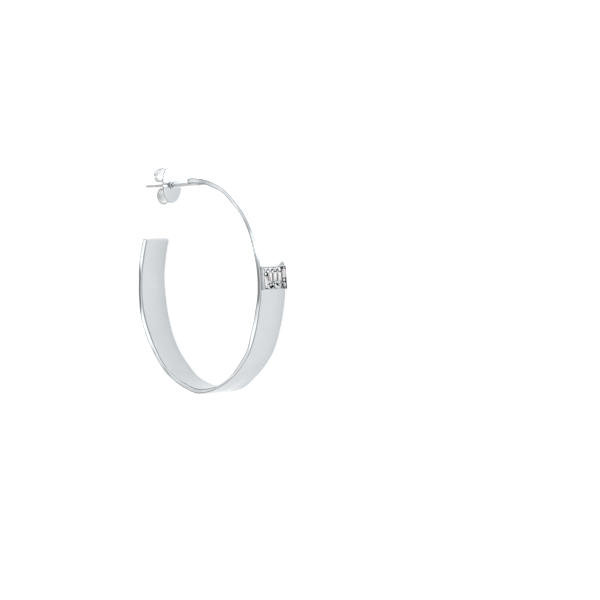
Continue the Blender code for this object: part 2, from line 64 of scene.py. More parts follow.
# One row for each hammer blow, from the free end to the post end. near, far and dent: how far
# the two rims stand out and the middle of the outer face is driven in, as shares of the band's
# thickness. near_rim and far_rim: how far each long edge is worked inwards, as shares of the
# width. tip: degrees that the near edge leans out (+) or in (-). pinch: share of the thickness
# lost at the near edge.
HAMMERING = (
    # near   far    dent  near_rim far_rim tip pinch
    (-0.05, 0.20, 0.00, 0.010, 0.010, -3, 0.00),
    (-0.10, 0.10, 0.05, 0.004, 0.006, -7, 0.00),
    (-0.10, 0.15, 0.08, 0.000, 0.000, 9, 0.00),
    (0.10, -0.05, 0.00, 0.008, 0.000, 9, 0.00),
    (0.08, -0.10, 0.06, 0.002, 0.012, -7, 0.00),
    (-0.05, 0.08, 0.10, 0.006, 0.004, -7, 0.00),
    (-0.15, 0.08, 0.02, 0.000, 0.010, -2, 0.08),
    (0.00, 0.00, 0.08, 0.010, 0.006, 2, 0.12),
    (-0.18, 0.17, 0.04, 0.004, 0.012, -1, 0.12),
    (-0.18, 0.10, 0.10, 0.004, 0.004, 0, 0.10),
    (0.03, 0.03, 0.00, 0.004, 0.008, 1, 0.12),
    (0.00, 0.05, 0.06, 0.004, 0.006, -1, 0.32),
    (0.12, 0.08, 0.10, 0.004, 0.000, 0, 0.62),
    (0.15, -0.18, 0.00, 0.000, 0.000, 1, 0.60),
    (-0.03, -0.05, 0.05, 0.010, 0.010, 0, 0.30),
    (0.05, 0.14, 0.12, 0.004, 0.004, 1, 0.15),
    (-0.25, 0.05, 0.06, 0.000, 0.012, 5, 0.00),
    (-0.30, 0.00, 0.00, 0.008, 0.006, 1, 0.00),
    (-0.12, 0.12, 0.00, 0.002, 0.002, -8, 0.00),
    (-0.04, 0.00, 0.00, 0.002, 0.002, -7, 0.00),
    (0.00, 0.00, 0.05, 0.006, 0.008, 1, 0.10),
    (0.10, 0.05, 0.02, 0.000, 0.000, -3, 0.20),
    (0.08, 0.22, 0.08, 0.008, 0.000, 0, 0.25),
    (-0.10, 0.08, 0.02, 0.002, 0.010, 1, 0.25),
    (-0.05, 0.00, 0.08, 0.006, 0.004, 2, 0.20),
    (-0.12, 0.05, 0.04, 0.000, 0.010, 0, 0.15),
    (-0.08, 0.00, 0.00, 0.010, 0.000, 1, 0.10),
    (0.05, 0.05, 0.00, 0.000, 0.000, 1, 0.00),
)

# The nut's upper (+1) and lower (-1) half: height, fullness (2 is an ellipse, more is squarer),
# lean in degrees, and the depth and reach of its scroll.
NUT_HALVES = {
    1: (0.00318, 2.0, 8.0, 0.00318, 0.00324),
    -1: (0.00318, 2.4, 4.5, 0.00245, 0.00348),
}

# Columns of stones from the near rim: upper and lower round stone's stand-off in row gaps,
# the baguette's length and seat, and the ends that have a bead in the column.
LONG_BAGUETTE = 0.00205
SHORT_BAGUETTE = 0.00150
STONE_COLUMNS = (
    (0.0, None, LONG_BAGUETTE, 0.16, ("upper",)),
    (0.0, 1.34, SHORT_BAGUETTE, 0.50, ()),
    (0.0, 0.0, SHORT_BAGUETTE, 0.84, ("lower",)),
    (0.3, 1.03, SHORT_BAGUETTE, 0.67, ()),
    (None, 0.8, SHORT_BAGUETTE, 0.66, ("lower", "upper", "wall")),
)


def length(name, description, default):
    return FloatProperty(
        name=name, description=description, default=default, subtype="DISTANCE", unit="LENGTH"
    )


def colour(name, description, default):
    return FloatVectorProperty(
        name=name, description=description, default=default, subtype="COLOR", size=3, min=0, max=1
    )


class EarringBandSettings(bpy.types.PropertyGroup):
    height: length("Height", "Outer height of the hoop", 0.0380)
    width: length("Width", "Outer width of the hoop", 0.0302)
    band_width: length("Band width", "Width of the strip", HOOP_BOX[1][2] - HOOP_BOX[0][2])
    thickness: length("Thickness", "Thickness of the strip", 0.00105)
    edge_round: length("Edge round", "Radius along the long edges", 0.00025)
    end_round: length("End round", "Radius round the two ends", 0.00022)
    ripple: length("Ripple", "Depth of the soft ripples that polishing left", 0.000012)
    rim_ripple: length("Rim ripple", "Depth of the streaks along the near edge", 0.000012)
    rim_fall: length("Rim fall", "How far the near edge rolls down to the inside", 0.00003)
    stations: IntProperty(name="Stations", description="Sections along the band", default=420)
    metal: colour("Metal", "Colour of the band's metal", (0.602, 0.628, 0.645))


class EarringPostSettings(bpy.types.PropertyGroup):
    diameter: length("Diameter", "Diameter of the wire", 0.00076)
    length: length("Length", "From the band's end to the tip", 0.01305)
    tip_diameter: length("Tip diameter", "Diameter of the turned-down tip", 0.00060)
    tip_length: length("Tip length", "Length of the turned-down tip", 0.0024)
    seat_height: length("Seat height", "Axis of the post over the band's inner face", 0.00024)
    solder_spread: length("Solder spread", "How far the solder swells at the root", 0.00012)
    solder_length: length("Solder length", "How far the solder runs along the wire", 0.00040)
    metal: colour("Metal", "Colour of the post's metal", (0.86, 0.87, 0.88))


class EarringStoneSettings(bpy.types.PropertyGroup):
    baguette_width: length("Baguette width", "Width of each step-cut stone", 0.00088)
    round_diameter: length("Round diameter", "Diameter of each round stone", 0.00080)
    stone_gap: length("Column gap", "Gap between columns of stones", 0.00029)
    row_gap: length("Row gap", "Gap between rows of stones", 0.00031)
    rise: length("Rise", "Height of the box over the band", 0.00052)
    wall: length("Wall", "Wall of the box", 0.00012)
    stand: length("Stand", "Height of the tables over the box", 0.00010)
    sink: length("Sink", "Depth of the recess in the band", 0.00015)
    # painted light: the stones' whites and darker flashes stand in for light and reflections seen
    # through clear stones
    baguette_painted_white: colour("Baguette tint", "Tint of the step-cut stones", (0.87, 0.86, 0.86))
    baguette_shade: colour("Baguette shade", "Their darker flashes", (0.58, 0.54, 0.54))
    round_painted_white: colour("Round tint", "Tint of the round stones", (0.86, 0.87, 0.89))
    round_shade: colour("Round shade", "Their darker flashes", (0.34, 0.38, 0.43))


class EarringNutSettings(bpy.types.PropertyGroup):
    plate_width: length("Plate width", "Width of the plate", NUT_BOX[1][2] - NUT_BOX[0][2])
    plate_thickness: length("Plate thickness", "Thickness of the sheet", 0.00028)
    crease_width: length("Crease width", "Width of the crease across the plate", 0.00090)
    crease_depth: length("Crease depth", "Depth of the crease", 0.00016)
    scallop_depth: length("Scallop depth", "Depth of the notches in the edge", 0.00021)
    scallops: IntProperty(name="Scallops", description="Notches round the edge", default=34)
    collar_diameter: length("Collar diameter", "Diameter round the hole", 0.0015)
    collar_rise: length("Collar rise", "Height of the collar", 0.00022)
    scroll_width: length("Scroll width", "Width of the rolled strip", 0.0029)
    neck_width: length("Neck width", "Width of the strip where it leaves the plate", 0.0018)
    scroll_thickness: length("Scroll thickness", "Thickness of the rolled strip", 0.00025)
    metal: colour("Metal", "Colour of the nut's metal", (0.570, 0.595, 0.612))
    # painted light: both scrolls get far lighter tones than the nut's metal, the lower one
    # lightest, standing in for the light inside their curls
    upper_scroll_painted_lit_metal: colour("Upper scroll", "Colour of the upper scroll", (0.83, 0.835, 0.84))
    lower_scroll_painted_lit_metal: colour("Lower scroll", "Colour of the lower scroll", (0.97, 0.97, 0.97))


class EarringStageSettings(bpy.types.PropertyGroup):
    floor_size: length("Floor size", "Side of the floor", 2.4)
    floor: colour("Floor", "Colour of the floor", (0.55, 0.55, 0.55))
    floor_glow: FloatProperty(
        name="Floor glow", description="Light from the backlit table itself", default=0.76
    )
    camera_distance: length("Camera distance", "From the middle of the hoop", 0.350)


def settings(name):
    return getattr(bpy.context.scene, "earring_" + name)


# ---- materials


def toned(colour_values, factor):
    return tuple(factor * c for c in colour_values)


def new_nodes(name):
    """A new material, its node tree and its shader."""
    material = bpy.data.materials.new(name)
    material.use_nodes = True
    tree = material.node_tree
    return material, tree, tree.nodes["Principled BSDF"]


def stretched_place(tree, stretch):
    """Object coordinates, stretched by these factors."""
    place = tree.nodes.new("ShaderNodeTexCoord")
    mapping = tree.nodes.new("ShaderNodeMapping")
    mapping.inputs["Scale"].default_value = stretch
    tree.links.new(place.outputs["Object"], mapping.inputs["Vector"])
    return mapping.outputs["Vector"]


def object_noise(tree, scale, detail=3.0, stretch=(1.0, 1.0, 1.0)):
    texture = tree.nodes.new("ShaderNodeTexNoise")
    texture.inputs["Scale"].default_value = scale
    texture.inputs["Detail"].default_value = detail
    tree.links.new(stretched_place(tree, stretch), texture.inputs["Vector"])
    return texture.outputs["Fac"]


def between(tree, factor, low, high):
    """factor from 0.3 to 0.7 spread from low to high."""
    spread = tree.nodes.new("ShaderNodeMapRange")
    spread.inputs["From Min"].default_value = 0.3
    spread.inputs["From Max"].default_value = 0.7
    spread.inputs["To Min"].default_value = low
    spread.inputs["To Max"].default_value = high
    tree.links.new(factor, spread.inputs["Value"])
    return spread.outputs["Result"]


def between_colours(tree, factor, low, high):
    mix = tree.nodes.new("ShaderNodeMix")
    mix.data_type = "RGBA"
    mix.inputs["A"].default_value = (*low, 1)
    mix.inputs["B"].default_value = (*high, 1)
    tree.links.new(factor, mix.inputs["Factor"])
    return mix.outputs["Result"]


# (share of the reach, share of the tone) up from the edge that the hoop lies on: painted shade,
# darkest at the floor.
FAR_EDGE_STOPS = ((0.0, 0.40), (0.04, 0.45), (0.075, 0.92), (0.5, 0.98), (1.0, 1.0))


def ramp_of_colours(tree, factor, stops, interpolation="LINEAR"):
    """Colour by factor, from (factor, colour) stops."""
    ramp = tree.nodes.new("ShaderNodeValToRGB")
    ramp.color_ramp.interpolation = interpolation
    while len(ramp.color_ramp.elements) < len(stops):
        ramp.color_ramp.elements.new(0.5)
    for element, (position, shade) in zip(ramp.color_ramp.elements, stops):
        element.position = position
        element.color = (*shade, 1)
    tree.links.new(factor, ramp.inputs["Fac"])
    return ramp.outputs["Color"]


def ramp_of_levels(tree, factor, stops):
    """Grey level by factor, from (factor, level) stops."""
    return ramp_of_colours(tree, factor, [(position, (level,) * 3) for position, level in stops])


def bump(tree, height, strength, distance):
    node = tree.nodes.new("ShaderNodeBump")
    node.inputs["Strength"].default_value = strength
    node.inputs["Distance"].default_value = distance
    tree.links.new(height, node.inputs["Height"])
    return node


def polished_metal(name, tone, ripple_scale, ripple_height, gloss=(0.06, 0.13), metallic=1.0):
    """White gold: slight clouding of tone and gloss, soft hammer ripples and fine rub marks."""
    material, tree, shader = new_nodes(name)
    shader.inputs["Metallic"].default_value = metallic
    cloud = object_noise(tree, 190.0, 3.0)
    dim = toned(tone, 0.90)
    bright = tuple(min(1.0, c) for c in toned(tone, 1.08))
    tree.links.new(between_colours(tree, cloud, dim, bright), shader.inputs["Base Color"])
    smear = object_noise(tree, 900.0, 5.0)
    tree.links.new(between(tree, smear, *gloss), shader.inputs["Roughness"])
    ripple = bump(tree, object_noise(tree, ripple_scale, 2.0), 0.5, ripple_height)
    rubbed = object_noise(tree, 9000.0, 3.0, (1.0, 1.0, 0.15))
    rub = bump(tree, rubbed, 0.25, 0.0000015)
    tree.links.new(ripple.outputs["Normal"], rub.inputs["Normal"])
    tree.links.new(rub.outputs["Normal"], shader.inputs["Normal"])
    return material


def paint_far_edge_shade(material, reach):
    """Painted shade: the tone falls off towards the edge that the hoop lies on, with a dark painted
    shadow line along it.
    """
    tree = material.node_tree
    shader = tree.nodes["Principled BSDF"]
    tone = shader.inputs["Base Color"].links[0].from_socket
    place = tree.nodes.new("ShaderNodeTexCoord")
    split = tree.nodes.new("ShaderNodeSeparateXYZ")
    height = tree.nodes.new("ShaderNodeMapRange")
    height.inputs["From Max"].default_value = reach
    fade = ramp_of_levels(tree, height.outputs["Result"], FAR_EDGE_STOPS)
    multiply = tree.nodes.new("ShaderNodeMix")
    multiply.data_type = "RGBA"
    multiply.blend_type = "MULTIPLY"
    multiply.inputs["Factor"].default_value = 1.0
    tree.links.new(place.outputs["Object"], split.inputs["Vector"])
    tree.links.new(split.outputs["Z"], height.inputs["Value"])
    tree.links.new(tone, multiply.inputs["A"])
    tree.links.new(fade, multiply.inputs["B"])
    tree.links.new(multiply.outputs["Result"], shader.inputs["Base Color"])


def facet_flashes(tree, scale, stretch, shades):
    """Painted reflections: cells of light and dark, as the facets on the far side of a cut stone
    show through it.
    """
    cells = tree.nodes.new("ShaderNodeTexVoronoi")
    cells.inputs["Scale"].default_value = scale
    split = tree.nodes.new("ShaderNodeSeparateColor")
    tree.links.new(stretched_place(tree, stretch), cells.inputs["Vector"])
    tree.links.new(cells.outputs["Color"], split.inputs["Color"])
    return ramp_of_colours(tree, split.outputs["Red"], shades, "CONSTANT")


def cut_stone_crown(name, refraction, scale, stretch, shades):
    """The top of a cut stone in painted light: clear, painted white, with painted flashes of its
    far facets.
    """
    material, tree, shader = new_nodes(name)
    shader.inputs["Transmission Weight"].default_value = 0.15
    shader.inputs["IOR"].default_value = refraction
    tree.links.new(facet_flashes(tree, scale, stretch, shades), shader.inputs["Base Color"])
    polish = object_noise(tree, 1500.0, 3.0)
    tree.links.new(between(tree, polish, 0.01, 0.05), shader.inputs["Roughness"])
    return material


def cut_stone_depth(name, refraction):
    """The deep lower part of a cut stone, painted near black as the setting's own shade."""
    material, tree, shader = new_nodes(name)
    shader.inputs["Transmission Weight"].default_value = 0.3
    shader.inputs["IOR"].default_value = refraction
    shade = object_noise(tree, 2500.0, 2.0)
    deep = between_colours(tree, shade, (0.02, 0.022, 0.025), (0.09, 0.095, 0.10))
    tree.links.new(deep, shader.inputs["Base Color"])
    tree.links.new(between(tree, shade, 0.05, 0.12), shader.inputs["Roughness"])
    return material


def matt_painted_light_and_shade(name, tone):
    """Matt grey metal, lightly pitted; its copies carry painted shade and painted light in their
    tone.
    """
    material, tree, shader = new_nodes(name)
    shader.inputs["Metallic"].default_value = 1.0
    cloud = object_noise(tree, 1800.0, 3.0)
    pitted = between_colours(tree, cloud, toned(tone, 0.72), tone)
    tree.links.new(pitted, shader.inputs["Base Color"])
    tree.links.new(between(tree, cloud, 0.28, 0.42), shader.inputs["Roughness"])
    return material


# ---- mesh helpers


def add_object(name, data):
    obj = bpy.data.objects.new(name, data)
    bpy.context.scene.collection.objects.link(obj)
    return obj


def finish_piece(name, bm, material, body, sharp_angle):
    """Makes the piece's object and hangs it on its body and material slot."""
    bmesh.ops.remove_doubles(bm, verts=bm.verts, dist=1e-8)
    bmesh.ops.recalc_face_normals(bm, faces=bm.faces[:])
    mesh = bpy.data.meshes.new(name)
    bm.to_mesh(mesh)
    bm.free()
    mesh.shade_smooth()
    mesh.set_sharp_from_angle(angle=radians(sharp_angle))
    obj = add_object(name, mesh)
    mesh.materials.append(material)
    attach(obj, body)
    return obj


def soften(bm, offset, segments, angle):
    """Rounds every edge whose faces turn by more than this angle."""
    bm.normal_update()
    sharp = [e for e in bm.edges if e.is_manifold and e.calc_face_angle() > radians(angle)]
    bmesh.ops.bevel(
        bm,
        geom=sharp,
        offset=offset,
        offset_type="OFFSET",
        segments=segments,
        profile=0.5,
        affect="EDGES",
        material=-1,
        clamp_overlap=True,
    )


# ---- band

FREE_END = radians(-207.2)
POST_END = radians(97.7)
END_STATIONS = 6  # sections that round each end
END_STEP = 0.5  # first step after them, as a share of an even step from end to end
# Shares of the half width from which the near edge leans and rolls, and the strip thins.
NEAR_EDGE_FROM = 0.82
THINNED_FROM = 0.2
ROLLED_SHARE = 0.38  # share of the thickness, from the inner face, that rolls down
STREAK_SCALES = (9.0, 2600.0)  # along the band, through its thickness
RIPPLE_SCALES = (6.0, 450.0, 300.0)  # along, across and through
SECTION_START = 1.0  # radius that the section is spun at before it is bent to the oval
# how far up from the edge on the floor the painted shade reaches
FAR_EDGE_SHADE_REACH = 0.0025


def oval_point(angle):
    """Point of the outer oval and its outward normal at this angle."""
    band = settings("band")
    a, b = band.width / 2, band.height / 2
    point = Vector((a * cos(angle), b * sin(angle), 0))
    return point, Vector((b * cos(angle), a * sin(angle), 0)).normalized()


def hammering_at(share):
    """The hammering at this share of the way from the free end to the post end."""
    place = max(0.0, min(1.0, share)) * (len(HAMMERING) - 1)
    row = min(int(place), len(HAMMERING) - 2)
    t = place - row
    ease = (t + t * t * (3 - 2 * t)) / 2
    return [a + (b - a) * ease for a, b in zip(HAMMERING[row], HAMMERING[row + 1])]


def station_angle(station, stations):
    """(angle of the oval, how far the section is drawn in) at a station along the band."""
    band = settings("band")
    a, b = band.width / 2, band.height / 2
    for end, count, direction in ((FREE_END, station, 1), (POST_END, stations - station, -1)):
        if count <= END_STATIONS:
            turn = count / END_STATIONS * pi / 2
            speed = hypot(a * sin(end), b * cos(end))
            angle = end + direction * band.end_round * (1 - cos(turn)) / speed
            return angle, band.end_round * (1 - sin(turn))
    edge = END_STATIONS * (POST_END - FREE_END) / stations * END_STEP
    share = (station - END_STATIONS) / (stations - 2 * END_STATIONS)
    return FREE_END + edge + (POST_END - FREE_END - 2 * edge) * share, 0.0


def place_band_vertex(across, depth, station):
    """Where a point of the straight strip's section goes in the hammered hoop."""
    band = settings("band")
    half = band.band_width / 2
    angle, inset = station_angle(station, band.stations)
    share = (angle - FREE_END) / (POST_END - FREE_END)
    near, far, dent, near_rim, far_rim, tip, pinch = hammering_at(share)
    across *= (half - inset) / half
    depth = inset + depth * (band.thickness - 2 * inset) / band.thickness
    u = across / half
    outer = 1 - depth / band.thickness
    stand = (far * (1 - u) + near * (1 + u)) / 2 - dent * (1 - u * u) * outer
    rise = band.band_width * (far_rim * (1 - u) - near_rim * (1 + u)) / 2
    lean = tan(radians(tip)) * band.thickness
    near_edge = max(0.0, (u - NEAR_EDGE_FROM) / (1 - NEAR_EDGE_FROM))
    rise -= near_edge * abs(lean) * (outer if tip > 0 else 1 - outer)
    streak = noise.noise(Vector((angle * STREAK_SCALES[0], depth * STREAK_SCALES[1], 0.0)))
    rolled = max(0.0, (ROLLED_SHARE - outer) / ROLLED_SHARE) ** 2
    rise += near_edge * (band.rim_ripple * (streak - 1) - band.rim_fall * rolled)
    point, normal = oval_point(angle)
    thinned = pinch * max(0.0, (u - THINNED_FROM) / (1 - THINNED_FROM)) ** 2 * outer
    out = band.thickness * (stand - thinned) - depth
    place = point + normal * out + Vector((0, 0, across + rise))
    waved = [v * scale for v, scale in zip((angle, across, depth), RIPPLE_SCALES)]
    wave = noise.noise(Vector(waved))
    middle = max(0.0, 1 - abs(u) ** 6)
    return HOOP_CENTRE + place + normal * band.ripple * wave * middle


def add_strip_section(bm, band):
    """Rounded rectangle of the strip's section, in the plane that the spin starts from."""
    half = band.band_width / 2
    outline = ((0, -half), (0, half), (band.thickness, half), (band.thickness, -half))
    corners = [bm.verts.new((SECTION_START - depth, 0, across)) for depth, across in outline]
    bm.faces.new(corners)
    bmesh.ops.bevel(
        bm,
        geom=corners,
        offset=band.edge_round,
        offset_type="OFFSET",
        segments=6,
        profile=0.5,
        affect="VERTICES",
        material=-1,
    )
    for cuts, shortest in ((23, band.band_width / 2), (5, band.thickness / 2)):
        wide = [e for e in bm.edges if e.calc_length() > shortest]
        bmesh.ops.subdivide_edges(bm, edges=wide, cuts=cuts)


def make_band_mesh():
    """The strip's section spun round an arc, then bent to the oval and hammered."""
    band = settings("band")
    bm = bmesh.new()
    add_strip_section(bm, band)
    sweep = POST_END - FREE_END
    bmesh.ops.spin(
        bm,
        geom=bm.verts[:] + bm.edges[:] + bm.faces[:],
        cent=(0, 0, 0),
        axis=(0, 0, 1),
        angle=sweep,
        steps=band.stations,
        use_merge=False,
        use_duplicate=False,
    )
    for vert in bm.verts:
        turned = atan2(vert.co.y, vert.co.x)
        if turned < -1e-4:
            turned += 2 * pi
        station = round(turned / sweep * band.stations)
        depth = SECTION_START - hypot(vert.co.x, vert.co.y)
        vert.co = place_band_vertex(vert.co.z, depth, station)
    return bm


class EARRING_OT_band(bpy.types.Operator):
    """Build the hammered band"""

    bl_idname = "earring.band"
    bl_label = "Band"

    def execute(self, context):
        metal = polished_metal("hammered_white_gold", settings("band").metal, 420.0, 0.00002)
        # painted shade towards the edge that lies on the floor
        paint_far_edge_shade(metal, FAR_EDGE_SHADE_REACH)
        bm = make_band_mesh()
        band = finish_piece("hammered_band", bm, metal, "hoop_body", 50)
        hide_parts("hoop")
        return {"FINISHED"}


# ---- post

POST_ROOT = 0.0013  # how far the wire runs on into the band's end
POST_TIP_ROUND = 0.00012
POST_CREASE = 0.00002  # small step that keeps the shoulder's edges crisp


def post_axis():
    """Point of the post's axis where it leaves the band. The post runs along -X."""
    band = settings("band")
    point, normal = oval_point(POST_END)
    seat = point - normal * (band.thickness - settings("post").seat_height)
    return HOOP_CENTRE + Vector((point.x, seat.y, 0))


def turned_mesh(profile, closed=False):
    """Spins a profile of (x, radius) all the way round the X axis."""
    bm = bmesh.new()
    verts = [bm.verts.new((x, 0, radius)) for x, radius in profile]
    ends = verts[1:] + verts[:1] if closed else verts[1:]
    edges = [bm.edges.new(pair) for pair in zip(verts, ends)]
    bmesh.ops.spin(
        bm,
        geom=verts + edges,
        cent=(0, 0, 0),
        axis=(1, 0, 0),
        angle=2 * pi,
        steps=40,
        use_merge=True,
        use_duplicate=False,
    )
    return bm


class EARRING_OT_post(bpy.types.Operator):
    """Build the post with its solder fillet"""

    bl_idname = "earring.post"
    bl_label = "Post"

    def execute(self, context):
        post = settings("post")
        radius, tip = post.diameter / 2, post.tip_diameter / 2
        shoulder = post.length - post.tip_length
        foot = shoulder + radius - tip
        crease, rim = POST_CREASE, POST_TIP_ROUND
        profile = [(-POST_ROOT, 0.0), (-POST_ROOT, radius)]
        for i in range(13):
            along = post.solder_length * (i / 6 - 1)
            swell = max(0.0, 1 - abs(along) / post.solder_length) ** 2
            profile.append((along, radius + post.solder_spread * swell))
        profile += [(shoulder - crease, radius), (shoulder, radius - crease / 2)]
        profile += [(foot, tip + crease / 2), (foot + crease, tip)]
        for i in range(7):
            turn = i / 6 * pi / 2
            profile.append((post.length - rim + rim * sin(turn), tip - rim + rim * cos(turn)))
        profile.append((post.length, 0.0))
        bm = turned_mesh([(-along, radius) for along, radius in profile])
        bmesh.ops.translate(bm, vec=post_axis(), verts=bm.verts)
        metal = polished_metal("post_white_gold", post.metal, 500.0, 0.000004, (0.16, 0.24), 0.5)
        finish_piece("ear_post", bm, metal, "hoop_body", 30)
        return {"FINISHED"}


# ---- setting and stones

SETTING_ANGLE = radians(3.7)
NEAR_WALL_LEAN = 5.5
SETTING_ROOT = 0.00045  # how deep the box and the ramp stand in the band
FLOOR_LIFT = 0.00003  # how far the recess's floor stays above the sink
RAMP_LENGTH = 0.0008
RAMP_WIDTH = 0.0015
RAMP_RISE = 0.00036
BEAD_STAND = 0.00008
BEAD_CLEARANCE = 0.000025
BEAD_SHARE = 0.42  # radius of a bead, as a share of the gap it stands in
SEAT_CLEARANCE = 0.00004
CROWN_HEIGHT = 0.00016
GIRDLE_HEIGHT = 0.00007
# Share of the stone's depth below its girdle that is still painted as lit; below it the stone takes
# a painted shade.
BAGUETTE_LIT = 0.25
ROUND_LIT = -0.06
# Shares of the half width and of the crown's or the pavilion's height, for each step.
CROWN_STEPS = ((0.14, 0.50), (0.12, 0.30), (0.12, 0.20))
PAVILION_STEPS = ((0.24, 0.40), (0.30, 0.35), (0.34, 0.25))


def setting_frame():
    """Matrix of the setting: X out of the band, Y along it to the post, Z across it."""
    point, normal = oval_point(SETTING_ANGLE)
    along = Vector((-normal.y, normal.x, 0))
    rotation = Matrix((normal, along, Vector((0, 0, 1)))).transposed()
    return Matrix.Translation(HOOP_CENTRE + point) @ rotation.to_4x4()


def recess_size():
    stones = settings("stones")
    along = 2 * stones.round_diameter + SHORT_BAGUETTE + 2 * stones.row_gap + 2 * SEAT_CLEARANCE
    across = 5 * stones.baguette_width + 4 * stones.stone_gap + 2 * SEAT_CLEARANCE
    return along, across


def stone_columns():
    """Place across, round stones, baguette centre and length, and bead of each column."""
    stones = settings("stones")
    top = recess_size()[0] / 2 - SEAT_CLEARANCE
    pitch = stones.baguette_width + stones.stone_gap
    columns = []
    for i, (upper, lower, long, seat, sides) in enumerate(STONE_COLUMNS):
        rounds = {}
        low, high = -top, top
        if upper is not None:
            rounds["upper"] = top - upper * stones.row_gap - stones.round_diameter / 2
            high = rounds["upper"] - stones.round_diameter / 2
        if lower is not None:
            rounds["lower"] = -top + lower * stones.row_gap + stones.round_diameter / 2
            low = rounds["lower"] + stones.round_diameter / 2
        start = low + (high - low - long) * seat
        gaps = {"upper": (start + long, high), "lower": (low, start)}
        gaps["wall"] = (-top, low - stones.round_diameter)
        beads = [
            (sum(gaps[side]) / 2, (gaps[side][1] - gaps[side][0]) * BEAD_SHARE) for side in sides
        ]
        columns.append(((2 - i) * pitch, rounds, start + long / 2, long, beads))
    return columns


def make_box_mesh():
    """The low box: a block whose top is inset and pushed down to the recess floor."""
    stones = settings("stones")
    along, across = recess_size()
    height = stones.rise + SETTING_ROOT
    bm = bmesh.new()
    bmesh.ops.create_cube(bm, size=1)
    size = (height, along + 2 * stones.wall, across + 2 * stones.wall)
    bmesh.ops.scale(bm, vec=size, verts=bm.verts)
    bmesh.ops.translate(bm, vec=(stones.rise - height / 2, 0, 0), verts=bm.verts)
    top = max(bm.faces, key=lambda f: f.calc_center_median().x)
    bmesh.ops.inset_region(bm, faces=[top], thickness=stones.wall, use_even_offset=True)
    down = bmesh.ops.extrude_discrete_faces(bm, faces=[top])["faces"][0]
    floor = stones.rise + stones.sink - FLOOR_LIFT
    bmesh.ops.translate(bm, vec=(-floor, 0, 0), verts=down.verts)
    # painted shade: the recess's floor and its walls take the near-black shaded copy
    for face in [down] + [f for edge in down.edges for f in edge.link_faces]:
        face.material_index = 1
    # painted shade: the near side's outer faces take a darker, duller copy of the metal
    for face in bm.faces:
        if face.material_index == 0 and face.calc_center_median().z > across / 2:
            face.material_index = 2
    for vert in bm.verts:
        if vert.co.x > stones.rise / 2 and vert.co.z > across / 2 + stones.wall / 2:
            vert.co.z += height * tan(radians(NEAR_WALL_LEAN))
    soften(bm, 0.00003, 3, 40)
    bm.transform(setting_frame())
    return bm


def make_ramp_mesh():
    """The three-sided ramp of solder against the box's far upper corner; its dark tone is a painted
    reflection.
    """
    stones = settings("stones")
    along, across = recess_size()
    start = along / 2 + stones.wall / 2
    edge = -across / 2 - stones.wall
    bm = bmesh.new()
    corners = ((start, edge), (start, edge + RAMP_WIDTH), (start + RAMP_LENGTH, edge))
    for x in (0, -SETTING_ROOT):
        for y, z in corners:
            lift = RAMP_RISE if x == 0 and (y, z) == corners[0] else 0
            bm.verts.new((x + lift, y, z))
    bmesh.ops.convex_hull(bm, input=bm.verts[:])
    soften(bm, 0.00005, 3, 15)
    bm.transform(setting_frame())
    return bm


def make_beads_mesh():
    """Prong beads between the stones: round-topped pins standing on the recess floor."""
    stones = settings("stones")
    columns = stone_columns()
    corner = recess_size()[0] / 2 - SEAT_CLEARANCE - stones.round_diameter - stones.row_gap / 2
    places = []
    for (left, *_), (right, *_) in zip(columns, columns[1:]):
        for along in (corner, -corner):
            radius = stones.stone_gap / 2 - BEAD_CLEARANCE
            places.append((along, (left + right) / 2, radius))
    for across, _, _, _, beads in columns:
        places += [(along, across, radius) for along, radius in beads]
    bm = bmesh.new()
    top = stones.rise + BEAD_STAND
    for along, across, radius in places:
        made = bmesh.ops.create_uvsphere(bm, u_segments=20, v_segments=14, radius=radius)
        shank = top + stones.sink - radius
        for vert in made["verts"]:
            sunk = vert.co.z < -radius * 0.01
            x = top - radius + vert.co.z - (shank if sunk else 0)
            vert.co = Vector((x, along + vert.co.x, across + vert.co.y))
    bm.transform(setting_frame())
    return bm


class EARRING_OT_setting(bpy.types.Operator):
    """Build the box setting and its prong beads"""

    bl_idname = "earring.setting"
    bl_label = "Setting"

    def execute(self, context):
        tone = settings("band").metal
        metal = polished_metal("setting_white_gold", tone, 700.0, 0.000006)
        # painted reflection: the ramp's dark tone stands in for a dark reflection beside the
        # setting
        solder = matt_painted_light_and_shade("matt_painted_light_and_shade", toned(tone, 0.58))
        # painted shade: darker, duller copy of the band's metal for the box's near side
        wall = matt_painted_light_and_shade("dull_shaded_wall", toned(tone, 0.92))
        # painted light: the beads get a lighter copy of the band's metal
        painted_lighter = polished_metal("painted_lighter_prongs", toned(tone, 1.2), 700.0, 0.000006)
        # painted shade: a near-black copy of the metal for the recess round the stones
        shade = matt_painted_light_and_shade("shaded_recess", toned(tone, 0.12))
        for name, bm, material, angle in (
            ("setting_box", make_box_mesh(), metal, 35),
            ("solder_ramp", make_ramp_mesh(), solder, 35),
            ("prong_beads", make_beads_mesh(), painted_lighter, 50),
        ):
            piece = finish_piece(name, bm, material, "hoop_body", angle)
            for extra in (shade, wall) if name == "setting_box" else ():
                piece.data.materials.append(extra)
        return {"FINISHED"}


def stone_depth():
    """From a stone's table to its lowest point, just clear of the recess's floor."""
    stones = settings("stones")
    return stones.rise + stones.stand + stones.sink - SEAT_CLEARANCE


def place_stone(bm, along, across, lit):
    """Marks the faces below its lit share as the stone's depth, which is painted shade, and sets it
    in its place.
    """
    stones = settings("stones")
    shaded_from = CROWN_HEIGHT + GIRDLE_HEIGHT + lit * stone_depth()
    for face in bm.faces:
        if face.calc_center_median().x < -shaded_from:
            face.material_index = 1
    shift = Matrix.Translation((stones.rise + stones.stand, along, across))
    bm.transform(setting_frame() @ shift)


